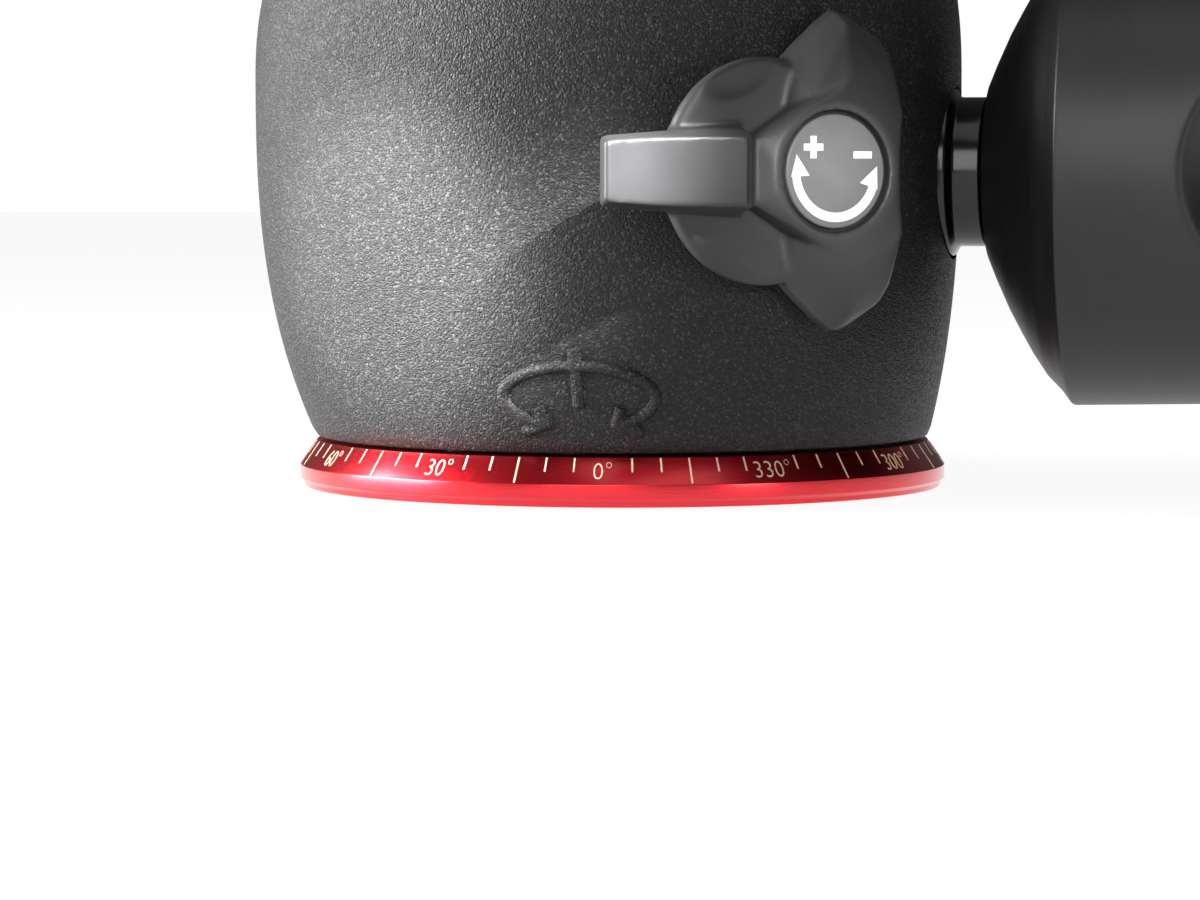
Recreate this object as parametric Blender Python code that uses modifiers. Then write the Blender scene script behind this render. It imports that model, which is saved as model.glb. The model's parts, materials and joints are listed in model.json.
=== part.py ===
"""Tripod ball head with a graduated panning base, built as separate pieces."""
import math

import bmesh
import bpy
from mathutils import Matrix, Vector

MM = 0.001
GAP = 0.3                  # clearance left between neighbouring pieces, mm
MERGE = 0.00001            # merge distance of turned pieces, metres

# Panning base, all sizes in millimetres
RING_RADIUS = 30.0         # widest line of the degree ring
RING_TOP_RADIUS = 28.4
RING_FOOT_RADIUS = 29.6
RING_RIDGE_Z = 2.3
RING_TOP_Z = 4.6
BASE_RADIUS = 25.2
SOCKET_RADIUS = 4.76       # 3/8 inch tripod thread
SPINDLE_RADIUS = 10.0
SCREW_CIRCLE = 17.0

# Housing
BODY_RADIUS = 32.7         # mean radius at the widest height
BODY_WAIST_Z = 38.0        # height of the widest section
BODY_FLARE = 4.4           # how much narrower the foot is
BODY_SHOULDER = 5.2        # how far the top is drawn in, 20 mm above the waist
BODY_BELOW = 33.0          # heights over which the flare, the shoulder and the lean act
BODY_ABOVE = 20.0
BODY_LEAN_ABOVE = 23.0
BODY_LEAN = 1.3            # sideways shift of the widest section
BODY_FOOT_Z = 4.9
BODY_TOP_Z = 61.0
BORE_RADIUS = 21.3         # chamber for the ball and its cup
CHAMBER_Z = 24.5
NUT_BORE = 12.6
WEB_Z = (8.6, 15.3)        # web that the spindle turns in

# Ball, stem and limits
BALL_RADIUS = 21.0
BALL_Z = 57.0
SEAT_RADIUS = BALL_RADIUS + GAP
COLLAR_TOP_Z = 64.5
STEM_RADIUS = 7.0
NOTCH_RADIUS = 7.9         # drop notch for the 90 degree position

# Controls: direction from the front towards the right, degrees, and height
MAIN_AZIMUTH = 78.0
FRICTION_AZIMUTH = 28.0
PAN_AZIMUTH = 180.0
LOCK_Z = 29.3
PAN_LOCK_Z = 11.95
WEDGE_SLOPE = math.radians(23.4)
WEDGE_NOSE = 12.8          # inner and outer ends of the wedges, from the pan axis
WEDGE_BACK = 20.6
MAIN_TIP = 1.5             # threaded tips that draw the wedges and the shoe along
FRICTION_TIP = 1.2
PAN_TIP = 0.9

# Platform and camera plate
DECK_Z = 93.0
DECK_THICK = 5.0
DECK_HALF_X = 23.4
DECK_HALF_Y = 23.0
JAW_TOP_Z = 104.1
PLATE_TOP_Z = 108.0
PLATE_HALF_Y = 25.0
LEVER_PIVOT = (27.6, -17.0)
VIAL_Z = 95.6

FINISHES = {
    # name: (linear colour, metallic, roughness)
    "powder_coat": ((0.035, 0.035, 0.037), 0.0, 0.55),
    "red_anodised": ((0.58, 0.012, 0.02), 1.0, 0.32),
    "bare_aluminium": ((0.60, 0.60, 0.61), 1.0, 0.35),
    "steel": ((0.50, 0.50, 0.51), 1.0, 0.30),
    "brass": ((0.62, 0.42, 0.14), 1.0, 0.35),
    "moulded_plastic": ((0.055, 0.055, 0.057), 0.0, 0.5),
    "grey_disc": ((0.24, 0.24, 0.245), 0.0, 0.45),
    "black_gloss": ((0.012, 0.012, 0.012), 0.0, 0.2),
    "acetal": ((0.72, 0.70, 0.66), 0.0, 0.45),
    "polished_ball": ((0.045, 0.045, 0.048), 1.0, 0.22),
    "rubber": ((0.025, 0.025, 0.025), 0.0, 0.85),
    "vial_glass": ((0.55, 0.75, 0.12), 0.0, 0.08),
}


def clear_scene():
    for item in list(bpy.data.objects):
        bpy.data.objects.remove(item, do_unlink=True)
    for name in ("ball_head", "cutters"):
        old = bpy.data.collections.get(name)
        if old:
            bpy.data.collections.remove(old)


def make_collection(name):
    group = bpy.data.collections.new(name)
    bpy.context.scene.collection.children.link(group)
    return group


def finish(name):
    material = bpy.data.materials.get(name)
    if material is None:
        colour, metallic, roughness = FINISHES[name]
        material = bpy.data.materials.new(name)
        material.use_nodes = True
        shader = material.node_tree.nodes["Principled BSDF"]
        shader.inputs["Base Color"].default_value = (*colour, 1.0)
        shader.inputs["Metallic"].default_value = metallic
        shader.inputs["Roughness"].default_value = roughness
    return material


def add_object(name, mesh, material=None, place=None):
    """Link a mesh as a finished piece, or as a hidden cutter when it has no material."""
    piece = bpy.data.objects.new(name, mesh)
    if material:
        MODEL.objects.link(piece)
        mesh.materials.append(finish(material))
        mesh.shade_smooth()
        mesh.set_sharp_from_angle(angle=math.radians(35))
    else:
        CUTTERS.objects.link(piece)
        piece.hide_render = True
        piece.display_type = "WIRE"
    if place is not None:
        piece.matrix_world = place
    return piece


def from_bmesh(name, shape, material=None, place=None):
    bmesh.ops.scale(shape, vec=(MM, MM, MM), verts=shape.verts)
    mesh = bpy.data.meshes.new(name)
    shape.to_mesh(mesh)
    shape.free()
    return add_object(name, mesh, material, place)


def radial(azimuth, height):
    """Frame on the pan axis: local Z points outwards, local Y points up."""
    angle = math.radians(azimuth)
    out = Vector((math.sin(angle), -math.cos(angle), 0.0))
    up = Vector((0.0, 0.0, 1.0))
    side = up.cross(out)
    place = Matrix((side, up, out)).transposed().to_4x4()
    place.translation = (0.0, 0.0, height * MM)
    return place


def at(x, y, z):
    return Matrix.Translation((x * MM, y * MM, z * MM))


def turned(name, profile, steps, material=None, place=None):
    """Closed (radius, height) profile swept once round Z, outer side listed downwards."""
    count = len(profile)
    mesh = bpy.data.meshes.new(name)
    points = [(radius * MM, 0.0, height * MM) for radius, height in profile]
    on_axis = profile[0][0] == 0.0 and profile[-1][0] == 0.0
    last = count - 1 if on_axis else count
    mesh.from_pydata(points, [(i, (i + 1) % count) for i in range(last)], [])
    piece = add_object(name, mesh, material, place)
    screw = piece.modifiers.new("turn", "SCREW")
    screw.axis = "Z"
    screw.angle = math.tau
    screw.steps = steps
    screw.render_steps = steps
    screw.use_merge_vertices = True
    screw.merge_threshold = MERGE
    screw.use_smooth_shade = False
    return piece


def ring(name, inner, outer, low, high, steps, material=None, place=None):
    profile = [(inner, high), (outer, high), (outer, low), (inner, low)]
    return turned(name, profile, steps, material, place)


def rod(name, radius, low, high, steps, material=None, place=None, chamfer=0.0):
    profile = [(0.0, high), (radius - chamfer, high), (radius, high - chamfer),
               (radius, low + chamfer), (radius - chamfer, low), (0.0, low)]
    if chamfer == 0.0:
        profile = [(0.0, high), (radius, high), (radius, low), (0.0, low)]
    return turned(name, profile, steps, material, place)


def block(name, low, high, material=None, place=None, bevel=0.0):
    shape = bmesh.new()
    bmesh.ops.create_cube(shape, size=1.0)
    size = [b - a for a, b in zip(low, high)]
    middle = [(a + b) / 2 for a, b in zip(low, high)]
    bmesh.ops.scale(shape, vec=size, verts=shape.verts)
    bmesh.ops.translate(shape, vec=middle, verts=shape.verts)
    piece = from_bmesh(name, shape, material, place)
    if bevel:
        edge = piece.modifiers.new("edges", "BEVEL")
        edge.width = bevel * MM
        edge.segments = 2
    return piece


def prism(name, outline, low, high, place=None):
    """Cutter with its outline in X and Y, drawn out along Z from low to high."""
    shape = bmesh.new()
    bottom = shape.faces.new([shape.verts.new((x, y, low)) for x, y in outline])
    made = bmesh.ops.extrude_face_region(shape, geom=[bottom])
    moved = [item for item in made["geom"] if isinstance(item, bmesh.types.BMVert)]
    bmesh.ops.translate(shape, vec=(0.0, 0.0, high - low), verts=moved)
    bmesh.ops.recalc_face_normals(shape, faces=shape.faces)
    return from_bmesh(name, shape, None, place)


def extruded(name, outline, low, high, material=None, bevel=0.0):
    """Outline in X and Z, drawn out along Y from low to high."""
    shape = bmesh.new()
    corners = [shape.verts.new((x, high, z)) for x, z in outline]
    face = shape.faces.new(corners)
    made = bmesh.ops.extrude_face_region(shape, geom=[face])
    moved = [item for item in made["geom"] if isinstance(item, bmesh.types.BMVert)]
    bmesh.ops.translate(shape, vec=(0.0, low - high, 0.0), verts=moved)
    bmesh.ops.recalc_face_normals(shape, faces=shape.faces)
    piece = from_bmesh(name, shape, material)
    if bevel:
        edge = piece.modifiers.new("edges", "BEVEL")
        edge.width = bevel * MM
        edge.segments = 2
        edge.limit_method = "ANGLE"
        edge.angle_limit = math.radians(40)
    return piece


def sphere(name, radius, centre, segments, rings, material=None, place=None):
    shape = bmesh.new()
    bmesh.ops.create_uvsphere(shape, u_segments=segments, v_segments=rings, radius=radius)
    bmesh.ops.translate(shape, vec=centre, verts=shape.verts)
    return from_bmesh(name, shape, material, place)


def boolean(piece, other, operation="DIFFERENCE"):
    step = piece.modifiers.new(other.name, "BOOLEAN")
    step.operation = operation
    step.solver = "EXACT"
    step.object = other
    return piece


def seat_arc(radius, start, end, count):
    """Points of the ball seat's arc between two profile radii, below or above the ball."""
    side = 1.0 if end > 0 else -1.0
    first = math.asin(abs(start) / radius)
    last = math.asin(abs(end) / radius)
    points = []
    for i in range(count + 1):
        angle = first + (last - first) * i / count
        points.append((radius * math.sin(angle), BALL_Z + side * radius * math.cos(angle)))
    return points


def seat_radius_at(height):
    return math.sqrt(SEAT_RADIUS ** 2 - (height - BALL_Z) ** 2)


# ---- panning base -------------------------------------------------------

def make_base():
    base = turned("pan_base", [(6.3, RING_TOP_Z - 0.2), (BASE_RADIUS, RING_TOP_Z - 0.2),
                               (BASE_RADIUS, 0.6), (BASE_RADIUS - 0.6, 0.0), (7.8, 0.0),
                               (7.8, 1.6), (6.3, 1.6)], 36, "bare_aluminium")
    turned("scale_ring", [(25.5, RING_TOP_Z), (RING_TOP_RADIUS, RING_TOP_Z),
                          (RING_RADIUS, RING_RIDGE_Z), (RING_RADIUS, 1.2),
                          (RING_FOOT_RADIUS, 0.8), (RING_FOOT_RADIUS, 0.3), (25.5, 0.3)],
           48, "red_anodised")
    turned("tripod_insert", [(SOCKET_RADIUS, 12.0), (6.0, 12.0), (6.0, 1.3), (7.5, 1.3),
                             (7.5, 0.3), (SOCKET_RADIUS, 0.3)], 24, "steel")
    spindle = turned("pan_spindle", [(0.0, 19.0), (7.0, 19.0), (7.0, 15.3),
                                     (SPINDLE_RADIUS, 15.3), (SPINDLE_RADIUS, 7.4),
                                     (21.0, 7.4), (21.0, 4.9), (6.3, 4.9), (6.3, 12.4),
                                     (0.0, 12.4)], 24, "bare_aluminium")
    for i in range(3):
        angle = math.radians(90 + 120 * i)
        spot = at(SCREW_CIRCLE * math.cos(angle), SCREW_CIRCLE * math.sin(angle), 0.0)
        screw = turned(f"base_screw_{i + 1}", [(0.0, 7.0), (1.5, 7.0), (1.5, 2.4), (2.6, 2.4),
                                               (2.6, 0.4), (0.0, 0.4)], 12, "steel", spot)
        socket = rod(f"screw_socket_{i + 1}", 1.2, -0.5, 1.5, 6, None, spot)
        boolean(screw, socket)
        hole = turned(f"screw_hole_{i + 1}", [(0.0, 8.0), (1.8, 8.0), (1.8, 2.7), (2.9, 2.7),
                                              (2.9, -0.5), (0.0, -0.5)], 12, None, spot)
        boolean(base, hole)
        boolean(spindle, hole)
    ring("thrust_washer", 10.6, 20.6, 7.7, 8.3, 24, "acetal")
    nut = ring("spindle_nut", 7.3, 12.0, 15.6, 19.0, 24, "steel")
    for side in (-1, 1):
        slot = block(f"nut_slot_{side}",
                     (side * 10.8 - 1.6, -1.2, 17.5), (side * 10.8 + 1.6, 1.2, 20.0))
        boolean(nut, slot)


# ---- housing ------------------------------------------------------------

def body_radius(height):
    below = max(0.0, (BODY_WAIST_Z - height) / BODY_BELOW)
    above = max(0.0, (height - BODY_WAIST_Z) / BODY_ABOVE)
    return BODY_RADIUS - BODY_FLARE * below ** 2.8 - BODY_SHOULDER * above ** 2.2


def body_lean(height):
    below = max(0.0, (BODY_WAIST_Z - height) / BODY_BELOW)
    above = max(0.0, (height - BODY_WAIST_Z) / BODY_LEAN_ABOVE)
    return -BODY_LEAN * (1.0 - min(1.0, below ** 2.6 + above ** 2.0))


def make_housing():
    levels = 10
    outer = []
    for i in range(levels + 1):
        height = BODY_TOP_Z + (BODY_FOOT_Z - BODY_TOP_Z) * i / levels
        outer.append((body_radius(height), height))
    inner = [(21.4, BODY_FOOT_Z), (21.4, WEB_Z[0]), (10.3, WEB_Z[0]), (10.3, WEB_Z[1]),
             (NUT_BORE, WEB_Z[1]), (NUT_BORE, CHAMBER_Z), (BORE_RADIUS, CHAMBER_Z),
             (BORE_RADIUS, 55.0), (23.5, 55.0), (23.5, BODY_TOP_Z)]
    shape = bmesh.new()
    corners = [shape.verts.new((radius, 0.0, height)) for radius, height in outer + inner]
    edges = [shape.edges.new((corners[i], corners[(i + 1) % len(corners)]))
             for i in range(len(corners))]
    bmesh.ops.spin(shape, geom=corners + edges, axis=(0, 0, 1), cent=(0, 0, 0),
                   angle=math.tau, steps=40, use_merge=True, use_duplicate=False)
    bmesh.ops.recalc_face_normals(shape, faces=shape.faces)
    for vert in shape.verts:
        reach = math.hypot(vert.co.x, vert.co.y)
        if reach > body_radius(vert.co.z) - 0.01:
            vert.co.x += body_lean(vert.co.z)
    housing = from_bmesh("housing", shape, "powder_coat")
    boolean(housing, drop_notch("housing_notch", 20.0))
    boolean(housing, turned("main_passage", [(0.0, 45.0), (7.3, 45.0), (7.3, 26.4), (5.8, 26.4),
                                             (5.8, 18.0), (0.0, 18.0)], 24, None,
                            radial(MAIN_AZIMUTH, LOCK_Z)))
    boolean(housing, rod("friction_passage", 4.7, 18.0, 45.0, 24, None,
                         radial(FRICTION_AZIMUTH, LOCK_Z)))
    boolean(housing, turned("pan_passage", [(0.0, 45.0), (4.5, 45.0), (4.5, 24.4), (2.6, 24.4),
                                            (2.6, 8.0), (0.0, 8.0)], 16, None,
                            radial(PAN_AZIMUTH, PAN_LOCK_Z)))

    collar_inner = [(seat_radius_at(height), height) for height in (61.3, 62.9, COLLAR_TOP_Z)]
    collar = turned("top_collar", [(24.0, COLLAR_TOP_Z), (25.2, COLLAR_TOP_Z - 1.0),
                                   (25.7, 61.3)] + collar_inner, 36, "black_gloss")
    boolean(collar, drop_notch("collar_notch", 15.0))
    seat_inner = [(seat_radius_at(height), height) for height in (55.3, 57.0, 59.0, 60.7)]
    seat = turned("upper_seat", [(23.2, 60.7), (23.2, 55.3)] + seat_inner, 36, "acetal")
    boolean(seat, drop_notch("seat_notch", 14.0))


def drop_notch(name, inner_x):
    """Round-bottomed slot on the left, deep enough for the stem lying level."""
    outline = [(-NOTCH_RADIUS, 80.0), (-NOTCH_RADIUS, BALL_Z)]
    steps = 10
    for i in range(1, steps):
        angle = math.pi + math.pi * i / steps
        outline.append((NOTCH_RADIUS * math.cos(angle), BALL_Z + NOTCH_RADIUS * math.sin(angle)))
    outline += [(NOTCH_RADIUS, BALL_Z), (NOTCH_RADIUS, 80.0)]
    piece = extruded(name, outline, inner_x, 45.0)
    piece.matrix_world = Matrix.Rotation(math.radians(90), 4, "Z")
    return piece


# ---- locks inside the housing -------------------------------------------

def wedge(name, radius, inner, outer, ramp_start, material, azimuth):
    """Radial cylinder whose inner end is planed to a ramp that rises outwards."""
    shape = bmesh.new()
    bmesh.ops.create_cone(shape, segments=20, radius1=radius, radius2=radius,
                          depth=outer - inner, cap_ends=True)
    bmesh.ops.translate(shape, vec=(0.0, 0.0, (inner + outer) / 2), verts=shape.verts)
    normal = Vector((0.0, math.cos(WEDGE_SLOPE), -math.sin(WEDGE_SLOPE)))
    foot = Vector((0.0, ramp_start, WEDGE_NOSE))
    geometry = shape.verts[:] + shape.edges[:] + shape.faces[:]
    bmesh.ops.bisect_plane(shape, geom=geometry, plane_co=foot, plane_no=normal,
                           clear_outer=True)
    bmesh.ops.holes_fill(shape, edges=shape.edges, sides=0)
    bmesh.ops.recalc_face_normals(shape, faces=shape.faces)
    return from_bmesh(name, shape, material, radial(azimuth, LOCK_Z))


def make_locks():
    cup_profile = [(18.8, 47.0), (20.9, 47.0), (20.9, 27.0), (6.0, 27.0)]
    cup_profile += seat_arc(SEAT_RADIUS, 6.0, -18.6, 5)
    cup = turned("lower_cup", cup_profile, 32, "acetal")
    slot_gap = 0.4 / math.cos(WEDGE_SLOPE)
    for label, azimuth, radius, ramp_start, tip in (
            ("main", MAIN_AZIMUTH, 4.2, 1.2, MAIN_TIP),
            ("friction", FRICTION_AZIMUTH, 3.2, 0.6, FRICTION_TIP)):
        wedge_piece = wedge(f"{label}_wedge", radius, WEDGE_NOSE, WEDGE_BACK, ramp_start,
                            "brass", azimuth)
        boolean(wedge_piece, rod(f"{label}_thread", tip + GAP, 15.8, 22.0, 12, None,
                                 radial(azimuth, LOCK_Z)))
        boolean(cup, wedge(f"{label}_slot", radius + 0.4, 11.8, 24.0, ramp_start + slot_gap,
                           None, azimuth))
    turned("spring_seat", [(3.0, 21.2), (12.3, 21.2), (12.3, 20.0), (3.0, 20.0)], 20, "steel")
    coil("cup_spring", 9.0, 0.55, 22.1, 26.0, 3, at(0, 0, 0))

    ring("main_bush", 3.8, 5.5, 21.9, 26.1, 20, "brass", radial(MAIN_AZIMUTH, LOCK_Z))
    ring("friction_bush", 2.9, 4.4, 21.9, 30.4, 20, "brass", radial(FRICTION_AZIMUTH, LOCK_Z))
    ring("pan_bush", 2.4, 4.2, 24.7, 32.0, 16, "brass", radial(PAN_AZIMUTH, PAN_LOCK_Z))
    turned("main_neck", [(4.0, 33.3), (6.8, 33.3), (7.0, 33.0), (7.0, 26.7), (4.0, 26.7)],
           20, "black_gloss", radial(MAIN_AZIMUTH, LOCK_Z))
    shoe = rod("pan_shoe", 2.3, 10.4, 16.0, 16, "brass", radial(PAN_AZIMUTH, PAN_LOCK_Z))
    boolean(shoe, rod("pan_thread", PAN_TIP + GAP, 12.4, 18.0, 12, None,
                      radial(PAN_AZIMUTH, PAN_LOCK_Z)))


def coil(name, radius, wire, low, high, turns, place):
    """Round wire coil with a few straight segments for each turn."""
    curve = bpy.data.curves.new(name, "CURVE")
    curve.dimensions = "3D"
    curve.bevel_depth = wire * MM
    curve.bevel_resolution = 0
    curve.use_fill_caps = True
    spline = curve.splines.new("POLY")
    per_turn = 10
    count = turns * per_turn
    spline.points.add(count)
    for i in range(count + 1):
        angle = math.tau * i / per_turn
        height = low + (high - low) * i / count
        spline.points[i].co = (radius * MM * math.cos(angle), radius * MM * math.sin(angle),
                               height * MM, 1.0)
    piece = bpy.data.objects.new(name, curve)
    MODEL.objects.link(piece)
    curve.materials.append(finish("steel"))
    piece.matrix_world = place
    return piece


# ---- knobs --------------------------------------------------------------

def screw_shaft(name, radius, tip, tip_end, shoulder, head, place):
    return turned(name, [(0.0, head), (radius, head), (radius, shoulder), (tip, shoulder),
                         (tip, tip_end), (0.0, tip_end)], 16, "steel", place)


def make_main_knob():
    place = radial(MAIN_AZIMUTH, LOCK_Z)
    profile = [(3.9, 61.2), (9.3, 61.2), (9.3, 64.0), (19.6, 64.0), (20.8, 62.8), (21.2, 41.9),
               (20.0, 41.0), (18.7, 39.7), (16.8, 38.4), (14.9, 37.2), (12.9, 36.1),
               (10.1, 34.7), (8.2, 33.9), (3.9, 33.9)]
    knob = turned("main_knob", profile, 36, "moulded_plastic", place)
    for i in range(3):
        angle = math.radians(60 + 120 * i)
        scoop = sphere(f"main_scoop_{i + 1}", 18.0,
                       (29.0 * math.cos(angle), 29.0 * math.sin(angle), 69.4), 18, 10, None, place)
        boolean(knob, scoop)
    rod("main_cap", 9.0, 61.5, 63.6, 24, "grey_disc", place, 0.4)
    screw_shaft("main_shaft", 3.5, MAIN_TIP, 16.6, 22.2, 60.6, place)


def lobe_outline():
    """Plan of the hub and its two short lobes, right side first, then mirrored."""
    upper = [(6.6, 0.0), (7.6, 5.3), (8.1, 8.7), (7.8, 10.2), (6.7, 11.7), (3.4, 13.7),
             (2.1, 14.1), (0.3, 12.7), (-2.8, 9.8), (-6.0, 5.2)]
    return upper + [(x, -y) for x, y in reversed(upper[1:])]


def make_friction_knob():
    place = radial(FRICTION_AZIMUTH, LOCK_Z)
    knob = turned("friction_knob", [(5.2, 37.9), (5.2, 38.8), (6.6, 38.8), (7.4, 38.0),
                                    (7.4, 33.2), (3.0, 33.2), (3.0, 37.0), (2.9, 37.9)], 28,
                  "moulded_plastic", place)
    boolean(knob, prism("short_lobes", lobe_outline(), 33.4, 38.0, place), "UNION")
    boolean(knob, block("long_arm", (-22.5, -3.4, 34.0), (-6.0, 3.4, 38.4), None, place, 0.8),
            "UNION")
    boolean(knob, rod("web", 9.9, 33.5, 35.6, 32, None, place @ at(-4.9, 0, 0)), "UNION")
    boolean(knob, rod("disc_well", 5.2, 37.9, 40.0, 28, None, place))
    boolean(knob, rod("shaft_well", 3.0, 32.0, 37.0, 20, None, place))
    rod("friction_disc", 4.9, 38.2, 38.7, 24, "grey_disc", place)
    screw_shaft("friction_shaft", 2.6, FRICTION_TIP, 16.6, 22.2, 36.6, place)


def make_pan_knob():
    place = radial(PAN_AZIMUTH, PAN_LOCK_Z)
    knob = turned("pan_knob", [(2.5, 41.6), (4.4, 41.6), (4.4, 42.8), (7.6, 42.8), (8.4, 41.8),
                               (8.4, 36.0), (6.0, 33.2), (2.5, 33.2)], 24,
                  "moulded_plastic", place)
    for i in range(3):
        angle = math.radians(60 + 120 * i)
        scoop = sphere(f"pan_scoop_{i + 1}", 6.5,
                       (12.6 * math.cos(angle), 12.6 * math.sin(angle), 42.2), 12, 8, None, place)
        boolean(knob, scoop)
    rod("pan_disc", 4.1, 41.9, 42.5, 20, "grey_disc", place)
    screw_shaft("pan_shaft", 2.1, PAN_TIP, 13.2, 16.9, 41.3, place)


# ---- ball, stem and platform --------------------------------------------

def make_ball():
    sphere("ball", BALL_RADIUS, (0, 0, 0), 28, 14, "polished_ball", at(0, 0, BALL_Z))
    foot = seat_arc(SEAT_RADIUS, 3.4, 7.6, 3)
    stem = [(3.4, DECK_Z - 0.4), (9.5, DECK_Z - 0.4), (9.5, 91.4), (STEM_RADIUS, 89.6),
            (STEM_RADIUS, 80.0)]
    turned("stem", stem + foot[::-1], 20, "bare_aluminium")
    turned("platform_screw", [(0.0, 97.6), (5.0, 97.6), (5.0, 94.9), (3.0, 94.9),
                              (3.0, 79.0), (0.0, 79.0)], 16, "steel")
    boolean(bpy.data.objects["platform_screw"], rod("hex_socket", 2.4, 95.8, 99.0, 6))


def jaw_outline(side, low):
    """Section of a clamp jaw: a 45 degree lip that holds down the camera plate."""
    points = [(DECK_HALF_X, low), (DECK_HALF_X, JAW_TOP_Z), (16.4, JAW_TOP_Z), (16.4, 103.25),
              (19.3, 100.35), (19.3, low)]
    return [(side * x, z) for x, z in points]


def make_platform():
    top = DECK_Z + DECK_THICK
    outline = [(DECK_HALF_X, DECK_Z), (DECK_HALF_X, top), (-19.3, top), (-19.3, 100.35),
               (-16.4, 103.25), (-16.4, JAW_TOP_Z), (-DECK_HALF_X, JAW_TOP_Z),
               (-DECK_HALF_X, DECK_Z)]
    deck = extruded("platform", outline, -DECK_HALF_Y, DECK_HALF_Y, "powder_coat", 0.6)
    ear = block("lever_ear", (22.0, -22.0, DECK_Z + 0.2), (31.6, -12.5, DECK_Z + 1.9),
                None, None, 0.5)
    boolean(deck, ear, "UNION")
    boolean(deck, turned("screw_well", [(0.0, 99.0), (5.4, 99.0), (5.4, 94.6), (3.4, 94.6),
                                        (3.4, 92.0), (0.0, 92.0)], 20))
    boolean(deck, rod("pin_hole", 1.5, 92.0, 96.0, 12, None, at(*LEVER_PIVOT, 0)))
    boolean(deck, block("vial_window", (-7.6, -24.0, VIAL_Z - 1.9), (7.6, -19.2, VIAL_Z + 1.9)))
    across = Matrix.Rotation(math.radians(90), 4, "Y")
    vial_place = at(0, -21.5, VIAL_Z) @ across
    rod("level_vial", 1.6, -7.2, 7.2, 16, "vial_glass", vial_place, 0.4)
    button_place = at(0, 14, 95.5) @ across
    boolean(deck, rod("button_hole", 2.0, -26.0, -12.0, 16, None, button_place))
    rod("safety_button", 1.7, -26.4, -17.6, 16, "red_anodised", button_place, 0.3)
    coil("button_spring", 1.1, 0.25, -17.0, -12.6, 3, button_place)

    jaw = extruded("clamp_jaw", jaw_outline(1, top + GAP), -11.5, 22.5, "bare_aluminium", 0.5)
    boolean(jaw, rod("jaw_screw_hole", 1.3, 18.0, 25.0, 12, None, at(0, 6, 99.2 + 0.6) @ across))


def make_lever():
    x, y = LEVER_PIVOT
    lever = turned("lock_lever", [(1.8, 102.6), (3.3, 102.6), (3.7, 102.2), (3.7, 95.3),
                                  (1.8, 95.3)], 24, "moulded_plastic", at(x, y, 0))
    bar = block("lever_bar", (-1.2, 2.6, 95.8), (2.6, 37.0, 102.0), None, at(x, y, 0), 1.0)
    boolean(lever, bar, "UNION")
    turned("lever_pin", [(0.0, 103.9), (2.6, 103.9), (2.6, 102.9), (1.2, 102.9), (1.2, 93.4),
                         (0.0, 93.4)], 12, "steel", at(x, y, 0))


def make_camera_plate():
    half = [(18.2, 98.4), (19.0, 99.2), (19.0, 100.05), (16.0, 103.05), (16.0, 104.4),
            (21.0, 104.4), (21.0, PLATE_TOP_Z)]
    outline = half + [(-x, z) for x, z in reversed(half)]
    plate = extruded("camera_plate", outline, -PLATE_HALF_Y, PLATE_HALF_Y, "bare_aluminium", 0.5)
    boolean(plate, block("screw_recess", (-9.0, -12.0, 97.0), (9.0, 12.0, 103.0)))
    boolean(plate, block("screw_slot", (-3.6, -10.0, 102.0), (3.6, 10.0, 110.0)))
    boolean(plate, block("pad_recess_left", (-18.6, -22.6, 107.3), (-5.4, 22.6, 110.0)))
    boolean(plate, block("pad_recess_right", (5.4, -22.6, 107.3), (18.6, 22.6, 110.0)))
    for label, low, high in (("left", -18.3, -5.7), ("right", 5.7, 18.3)):
        block(f"plate_pad_{label}", (low, -22.3, 107.6), (high, 22.3, 109.0), "rubber",
              None, 0.3)
    screw = turned("camera_screw", [(0.0, 114.5), (2.6, 114.5), (3.17, 113.9), (3.17, 102.2),
                                    (8.2, 102.2), (8.2, 99.4), (0.0, 99.4)], 24, "steel")
    boolean(screw, block("coin_slot", (-9.0, -0.8, 98.0), (9.0, 0.8, 100.8)))


clear_scene()
MODEL = make_collection("ball_head")
CUTTERS = make_collection("cutters")
make_base()
make_housing()
make_locks()
make_main_knob()
make_friction_knob()
make_pan_knob()
make_ball()
make_platform()
make_lever()
make_camera_plate()
bpy.context.view_layer.update()
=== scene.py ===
import json
import math
import bmesh
import bpy
from mathutils import Matrix, Vector


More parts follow.
